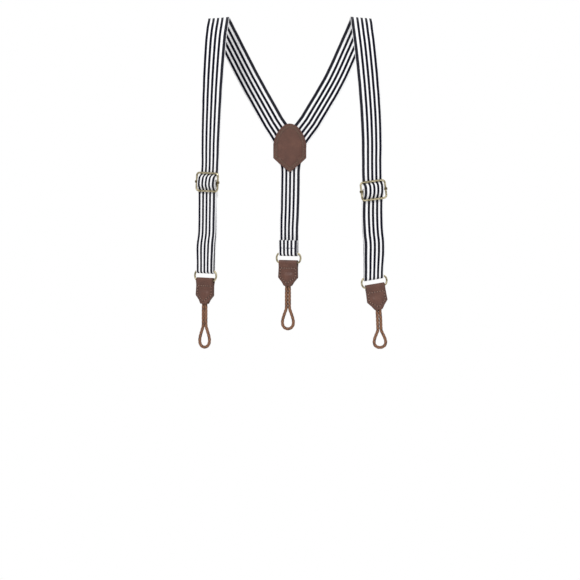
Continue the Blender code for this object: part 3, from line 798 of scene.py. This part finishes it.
def tabWidth(down):
    rows = [(0.0, tab["topWide"]), (0.0048, tab["topWide"] + 0.0004), (0.0107, tab["wide"] - 0.0002),
            (tab["side"], tab["wide"]), (tab["drop"], tab["neckWide"])]
    for (a, wide), (b, nextWide) in zip(rows, rows[1:]):
        if down <= b:
            return wide + (nextWide - wide) * max(0, down - a) / (b - a)
    return rows[-1][1]


def tabHalf(x, down):
    # half the distance between the two plies' middles: round the wire, pinched, then over the cord's ends
    around = foldRadius(tab["leather"])
    pinch, spread = tab["leather"] / 2 + 0.00004, cord["radius"] + tab["leather"] / 2 - 0.0001
    fall = smoothStep(down / 0.0052)
    base = around + (pinch - around) * fall
    over = smoothStep((down - 0.0085) / 0.0035) * smoothStep((0.0056 - abs(x)) / 0.0034)
    return base + (spread - pinch) * over


def tabSurface(x, down, sign):
    # a point on the outside of a ply and the way out of it, in the tab's own frame; sign -1 is the chest side
    def at(a, b):
        return Vector((a, sign * (tabHalf(a, b) + tab["leather"] / 2), -b))
    point, tiny = at(x, down), 0.0002
    normal = (at(x + tiny, down) - at(x - tiny, down)).cross(at(x, down + tiny) - at(x, down - tiny))
    return point, normal * (-1 if normal.y * sign < 0 else 1)


def seamPath():
    # the sewn line on a tab: across below the fold, down both sides and together at the tip
    top, tip, corner = tab["seamTop"], tab["seamTip"], tab["side"] - 0.0006
    upper, lower = tabWidth(top) / 2 - tab["seamIn"], tab["wide"] / 2 - tab["seamIn"]
    return [(0.0003, tip), (lower, corner), (upper, top), (-upper, top), (-lower, corner), (-0.0003, tip)]


def alongPath(points, pitch):
    found = []
    for a, b in zip(points, points[1:]):
        a, b = Vector(a), Vector(b)
        count = max(1, round((b - a).length / pitch))
        found += [(a.lerp(b, (i + 0.5) / count), (b - a).normalized()) for i in range(count)]
    return found


def nearPath(points, spot):
    best = 1.0
    for a, b in zip(points, points[1:]):
        a, b = Vector(a), Vector(b)
        t = min(1, max(0, (spot - a).dot(b - a) / (b - a).length_squared))
        best = min(best, (a.lerp(b, t) - spot).length)
    return best


def fade(distance, reach):
    # 1 at the middle of a mark, falling to nothing about two reaches away
    return math.exp(-(distance / reach) ** 2)


# a darkening share for each point: the dyed rim, and painted shade in the sewn line and needle holes
def rimDyeAndSeamShade(piece, values):
    layer = piece.data.attributes.new("rimDyeAndSeamShade", "FLOAT", "POINT")
    layer.data.foreach_set("value", values)


def leatherTab(where, placing, finish, thread):
    name = where["name"]
    columns, pitch = tab["columns"], tab["stitch"]
    around = foldRadius(tab["leather"])
    count = round(tab["drop"] / tab["step"])
    downs = [tab["drop"] * (1 - i / count) for i in range(count)]
    rows = [(-1, down, None) for down in downs]
    rows += [(0, 0, p) for p in arcPoints((0, 0), around, 180, 0, 18)]
    rows += [(1, down, None) for down in reversed(downs)]
    sewn = seamPath()
    holes = []
    for spot, way in alongPath(sewn, pitch):  # both ends of a stitch go into one hole with the next
        holes += [spot - way * pitch * 0.46, spot + way * pitch * 0.46]
    deselectAll()
    bpy.ops.mesh.primitive_grid_add(x_subdivisions=columns, y_subdivisions=len(rows) - 1, size=1)
    piece = takeNew(f"{name}_leather_tab")
    dark = []
    for v in piece.data.vertices:
        u, k = v.co.x, round((v.co.y + 0.5) * (len(rows) - 1))
        sign, down, turned = rows[k]
        if turned is not None:
            v.co = Vector((u * tab["topWide"], turned.x, turned.y))
            down, sign = 0.0, 0
        else:
            x = u * tabWidth(down)
            v.co = Vector((x, sign * tabHalf(x, down), -down))
        wide = tabWidth(down)
        spot = Vector((u * wide, down))
        slant = 0.86 if down > tab["side"] else 1  # the lower sides run in to the tip
        fromEdge = min((0.5 - abs(u)) * wide * slant, tab["drop"] - down)
        seam = nearPath(sewn, spot) if sign else 1.0
        hole = min(((spot - h).length for h in holes), default=1.0) if seam < 0.0012 else 1.0
        dip = tab["lineDeep"] * fade(seam, 0.00055) + tab["holeDeep"] * fade(hole, 0.00036)
        if sign:
            v.co.y -= sign * dip
        # the rim's dye, and painted shade in the sewn line and its needle holes
        rim = tab["rimDark"] * (1 - smoothStep(fromEdge / tab["rim"]))
        dark.append(min(1.0, rim + tab["lineDark"] * fade(seam, tab["line"])
                        + tab["holeDark"] * fade(hole, tab["hole"])))
    rimDyeAndSeamShade(piece, dark)
    applyModifier(piece, "SOLIDIFY", thickness=tab["leather"], offset=0, use_even_offset=True)
    applyModifier(piece, "BEVEL", width=0.00030, segments=3, limit_method="ANGLE",
                  angle_limit=math.radians(60))
    piece.data.transform(placing)
    finishPiece(piece, finish, 50)
    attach(piece, f"{name}_tab_body")
    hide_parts(f"{name}_tab")
    marks = []
    for sign in (-1, 1):
        for spot, way in alongPath(sewn, pitch):
            point, normal = tabSurface(spot.x, spot.y, sign)
            direction = Vector((way.x, 0, -way.y))
            normal = normal.normalized()
            marks.append((placing @ (point + normal * (-0.00006)), placing.to_3x3() @ direction,
                          placing.to_3x3() @ normal, pitch * 0.66))
    sewing = sewStitches(f"{name}_tab_stitches", marks, thread)
    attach(sewing, f"{name}_tab_body")
    print(name, "tab", len(piece.data.polygons), "faces")
    return piece


yoke = {
    "wide": 0.0301, "high": 0.0442, "sideTop": 0.0010, "sideEnd": -0.0092, "middle": -0.1158,
    "leather": 0.0013, "points": 200, "seamIn": 2.8 * mm, "zigzag": 1.1 * mm, "stitches": 96, "thread": 0.25 * mm,
    # how dark, and how far out or deep: the dyed rim, and the painted shade along the sewn line and in its needle
    # holes
    "rimDark": 0.45, "rim": 0.0010, "lineDark": 0.12, "line": 0.0010, "holeDark": 0.8, "hole": 0.00044,
    "lineDeep": 0.00010, "holeDeep": 0.00018,
}
# the webbing sewn in between its plies: (end, further out, half its width)
yokeStraps = [
    ((-0.0058, -0.1070), (-0.0353, -0.0563), 0.0100),
    ((0.0056, -0.1093), (0.0394, -0.0563), 0.0100),
    ((0.0005, -0.1260), (0.0004, -0.1450), 0.0098),
]


def yokeOutline(count):
    half, top, bottom = yoke["wide"] / 2, yoke["high"] / 2, -yoke["high"] / 2
    sideTop, sideEnd = yoke["sideTop"], yoke["sideEnd"]
    knots = [
        ((0, bottom), (-0.002, bottom + 0.001), (0.002, bottom + 0.001)),
        ((half, sideEnd), (half - 0.0012, sideEnd - 0.0016), (half, sideEnd + 0.002)),
        ((half, sideTop), (half, sideTop - 0.002), (half, sideTop + 0.0095)),
        ((0, top), (0.0078, top), (-0.0078, top)),
        ((-half, sideTop), (-half, sideTop + 0.0095), (-half, sideTop - 0.002)),
        ((-half, sideEnd), (-half, sideEnd + 0.002), (-half + 0.0012, sideEnd - 0.0016)),
    ]
    points = []
    for (a, _, out), (b, into, _) in zip(knots, knots[1:] + knots[:1]):
        a, b, c, d = Vector(a), Vector(out), Vector(into), Vector(b)
        for i in range(24):
            t = i / 24
            points.append(a * (1 - t) ** 3 + b * 3 * t * (1 - t) ** 2 + c * 3 * t * t * (1 - t) + d * t ** 3)
    total = sum((q - p).length for p, q in zip(points, points[1:] + points[:1]))
    return evenOutline(points, total / count * 1.0000001)[:count]


def overStrap(x, z):
    # how much of a strap's thickness lies under the leather here, 0 to 1
    best = 0.0
    for a, b, half in yokeStraps:
        a, b, spot = Vector(a), Vector(b), Vector((x, z))
        t = (spot - a).dot(b - a) / (b - a).length_squared
        if t < -0.05:
            continue
        away = (a.lerp(b, t) - spot).length
        best = max(best, smoothStep((half + 0.0016 - away) / 0.0022)
                   * smoothStep((t * (b - a).length + 0.002) / 0.002))
    return best


def yokeHalf(x, z, fromEdge):
    # from the middle of the yoke to the middle of a ply: over the webbing, then down to a thin rim
    under = max(overStrap(x, z + yoke["middle"]), smoothStep((fromEdge - 0.0035) / 0.003))
    return 0.00068 + 0.00062 * under


def zigzagSeam(edge):
    # stitches that go in and out beside a line just inside the rim
    corners = []
    for i in range(yoke["stitches"]):
        k = int(i * len(edge) / yoke["stitches"])
        way = (edge[(k + 1) % len(edge)] - edge[k]).normalized()
        depth = yoke["seamIn"] + yoke["zigzag"] * (1 if i % 2 else -1)
        corners.append(edge[k] + Vector((-way.y, way.x)) * depth)
    return list(zip(corners, corners[1:] + corners[:1]))


def yokePly(name, sign, node, finish, thread):
    # sign -1 is the chest side, 1 the side seen on the back
    # each further ring of faces, as a share of the outline; close together where the stitching dips
    rings = (0.988, 0.970, 0.950, 0.930, 0.910, 0.890, 0.870, 0.850, 0.830, 0.805, 0.775, 0.735, 0.68, 0.61,
             0.52, 0.42, 0.32, 0.22, 0.12, 0.05)
    edge = yokeOutline(yoke["points"])
    deselectAll()
    bpy.ops.mesh.primitive_circle_add(vertices=len(edge), radius=1, fill_type="NOTHING")
    piece = takeNew(name)
    for v, point in zip(piece.data.vertices, edge):
        v.co = (point.x, 0, point.y)
    bpy.ops.object.mode_set(mode="EDIT")
    bpy.ops.mesh.select_all(action="SELECT")
    scale = 1.0
    for share in rings:
        bpy.ops.mesh.extrude_edges_move()
        bpy.ops.transform.resize(value=(share / scale,) * 3, center_override=(0, 0, 0))
        scale = share
    bpy.ops.mesh.merge(type="CENTER")
    bpy.ops.object.mode_set(mode="OBJECT")
    cleanNormals(piece)
    seamMarks = zigzagSeam(edge)
    dark = []
    for v in piece.data.vertices:
        spot = Vector((v.co.x, v.co.z))
        fromEdge = nearPath(edge + edge[:1], spot) if spot.length > 0.006 else 0.01
        seam = abs(fromEdge - yoke["seamIn"])
        hole = min((spot - a).length for a, _ in seamMarks) if seam < 0.0018 else 1.0
        dip = yoke["lineDeep"] * fade(seam, 0.0011) + yoke["holeDeep"] * fade(hole, 0.00030)
        y = sign * (yokeHalf(spot.x, spot.y, fromEdge) - dip)
        v.co = Vector((spot.x, worn["backY"] + y, spot.y + yoke["middle"]))
        # the rim's dye, and painted shade in the sewn line and its needle holes
        rim = yoke["rimDark"] * (1 - smoothStep(fromEdge / yoke["rim"]))
        dark.append(min(1.0, rim + yoke["lineDark"] * fade(seam, yoke["line"])
                        + yoke["holeDark"] * fade(hole, yoke["hole"])))
    rimDyeAndSeamShade(piece, dark)
    applyModifier(piece, "SOLIDIFY", thickness=yoke["leather"], offset=0, use_even_offset=True)
    applyModifier(piece, "BEVEL", width=0.00028, segments=3, limit_method="ANGLE",
                  angle_limit=math.radians(60))
    finishPiece(piece, finish, 50)
    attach(piece, "harness")
    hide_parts(node)
    marks = []
    for a, b in seamMarks:
        spot = (a + b) / 2
        y = sign * (yokeHalf(spot.x, spot.y, yoke["seamIn"]) + yoke["leather"] / 2 - 0.00008)
        place = Vector((spot.x, worn["backY"] + y, spot.y + yoke["middle"]))
        marks.append((place, Vector((b.x - a.x, 0, b.y - a.y)), Vector((0, sign, 0)), (b - a).length * 0.92))
    sewing = sewStitches(name.replace("leather", "stitches"), marks, thread, yoke["thread"])
    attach(sewing, "harness")
    print(name, len(piece.data.polygons), "faces")


cord = {"radius": 0.0014, "spread": 0.00145, "inTab": 0.0085, "lay": 3.3 * mm, "around": 24, "step": 0.00032}
# Button loop below its tab, one half: (out, share of the stem, share of the loop)
loopRoute = [
    (0.0015, 0, 0), (0.0015, 0.33, 0), (0.0015, 0.66, 0), (0.0016, 1, 0), (0.0026, 1, 0.17),
    (0.0040, 1, 0.37), (0.0050, 1, 0.55), (0.0053, 1, 0.71), (0.0046, 1, 0.86), (0.0026, 1, 0.965), (0, 1, 1),
]


def cordPiece(name, path, finish):
    radius, step = cord["radius"], cord["step"]
    route = evenStations([(p, Vector((0, 0, 0))) for p in smoothRows(path, 10)], step)
    points = [r[0] for r in route]
    last = len(points) - 1
    deselectAll()
    bpy.ops.mesh.primitive_grid_add(x_subdivisions=cord["around"], y_subdivisions=last, size=1)
    piece = takeNew(name)
    mesh = piece.data
    frames = []
    for i in range(last + 1):
        way = (points[min(last, i + 1)] - points[max(0, i - 1)]).normalized()
        side = way.cross(Vector((0, -1, 0))).normalized()
        frames.append((side, side.cross(way).normalized()))
    uvs = {}
    for v in mesh.vertices:
        u, k = v.co.x + 0.5, round((v.co.y + 0.5) * last)
        side, front = frames[k]
        turns = route[k][2] / cord["lay"]
        plait = abs(math.sin(math.pi * (4 * u + turns)) * math.sin(math.pi * (4 * u - turns)))
        end = min(1.0, min(k, last - k) * step / radius)
        size = radius * (0.93 + 0.10 * plait ** 0.6) * math.sqrt(max(0.0, 1 - (1 - end) ** 2))
        angle = 2 * math.pi * u
        v.co = points[k] + side * (math.cos(angle) * size) + front * (math.sin(angle) * size)
        uvs[v.index] = (u, turns)
    setUvs(mesh, uvs)
    cleanNormals(piece, merge=0.01 * mm)
    return finishPiece(piece, finish, 80), points


def buttonLoop(where, tabPlacing, finish):
    name, radius = where["name"], cord["radius"]
    swing = (Matrix.Translation((0, 0, -tab["drop"]))
             @ Matrix.Rotation(-math.radians(where["loopRise"] - where["ringRise"]), 4, "Y"))
    placing = tabPlacing @ swing
    start = -worn["gap"] - radius
    rows = [Vector((x, 0, start - where["stem"] * a - where["loopHigh"] * b)) for x, a, b in loopRoute]
    inTab = [Vector((cord["spread"] - 0.00005 * i, 0, -tab["drop"] + cord["inTab"] * (1 - i / 3)))
             for i in range(3)]
    there, back = [[tabPlacing @ Vector((sign * p.x, 0, p.z)) for p in inTab]
                   + [placing @ Vector((sign * p.x, 0, p.z)) for p in rows[1:]] for sign in (-1, 1)]
    piece, points = cordPiece(f"{name}_braided_loop", there + back[-2::-1], finish)
    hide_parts(f"{name}_button_loop", f"{name}_cord_anchor")
    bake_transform(piece)


def hangingParts(where, placing):
    name = where["name"]
    wire = wirePiece(f"{name}_ring_wire", ringOutline(), ring["wire"], placing, brassFinish)
    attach(wire, f"{name}_ring_body")
    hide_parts(f"{name}_ring")
    tabPlacing = placing @ Matrix.Translation((0, 0, -ring["high"]))
    buttonLoop(where, tabPlacing, cordFinish)
    leatherTab(where, tabPlacing, leatherFinish, tabThread)


def frontSide(where, shoulderRows, chestRows):
    name, side = where["name"], where["side"]
    chest = ChestStrap(where, chestRows)
    around = foldRadius(worn["webbingThick"])
    turn = chest.turn(chest.ringZ)
    seat = chest.middle(chest.ringZ) - outward(side, turn) * around
    hangingParts(where, localFrame(seat, side, turn, where["ringRise"]))
    print(name, "hanging parts done")
    turn = chest.turn(chest.adjusterZ)
    wires = adjuster["wire"] + adjuster["frameGap"] + worn["webbingThick"] / 2
    seat = chest.middle(chest.adjusterZ) + outward(side, turn) * wires
    placing = localFrame(seat, side, turn, where["adjusterRise"])
    wire = wirePiece(f"{name}_frame_wire", frameOutline(), adjuster["wire"], placing, brassFinish)
    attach(wire, f"{name}_adjuster")
    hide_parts(f"{name}_adjuster_frame")
    bar = adjusterBar(f"{name}_bar", placing, darkBrassFinish)
    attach(bar, f"{name}_bar")
    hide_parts(f"{name}_adjuster_bar")
    frontWebbing(where, shoulderRows, chestRows, webbingFinish)
    print(name, "strap done")


makeCamera()
makeLights()
print("camera and lights done")
webbingFinish, leatherFinish, cordFinish = wovenElastic(), tannedLeather(), braidedCord()
brassFinish = antiqueBrass("antiqueBrassPlating", brassLook)
darkBrassFinish = antiqueBrass("darkerBrassPlating", darkBrassLook)  # a darker copy of the brass, for the bar
tabThread = sewingThread("brownTabThread", "a98878", "88685a")
yokeThread = sewingThread("oliveYokeThread", "63543f", "684a42")
navyThread = sewingThread("navyThread", "15142c", "2a2a44")

frontSide(leftSide, leftShoulder, leftChest)
frontSide(rightSide, rightShoulder, rightChest)
_, backX, backTurn = atHeight(backRoute, backSide["ringZ"])
backAround = foldRadius(worn["webbingThick"])
backSeat = Vector((backX, worn["backY"], backSide["ringZ"])) + outward(-1, backTurn) * backAround
hangingParts(backSide, localFrame(backSeat, -1, backTurn, backSide["ringRise"]))
backWebbing(webbingFinish)
yokePly("yoke_inner_leather", -1, "yoke_inner", leatherFinish, yokeThread)
yokePly("yoke_outer_leather", 1, "yoke_outer", leatherFinish, yokeThread)

deselectAll()
bpy.ops.mesh.primitive_circle_add(vertices=96, radius=0.62, fill_type="NGON", location=(0, 0, -0.56))
floor = takeNew("Floor")
floorFinish, _, floorShader = newFinish("paleFloor")
floorShader.inputs["Base Color"].default_value = hexColour("f2f2f2")
floorShader.inputs["Roughness"].default_value = 0.9
finishPiece(floor, floorFinish)
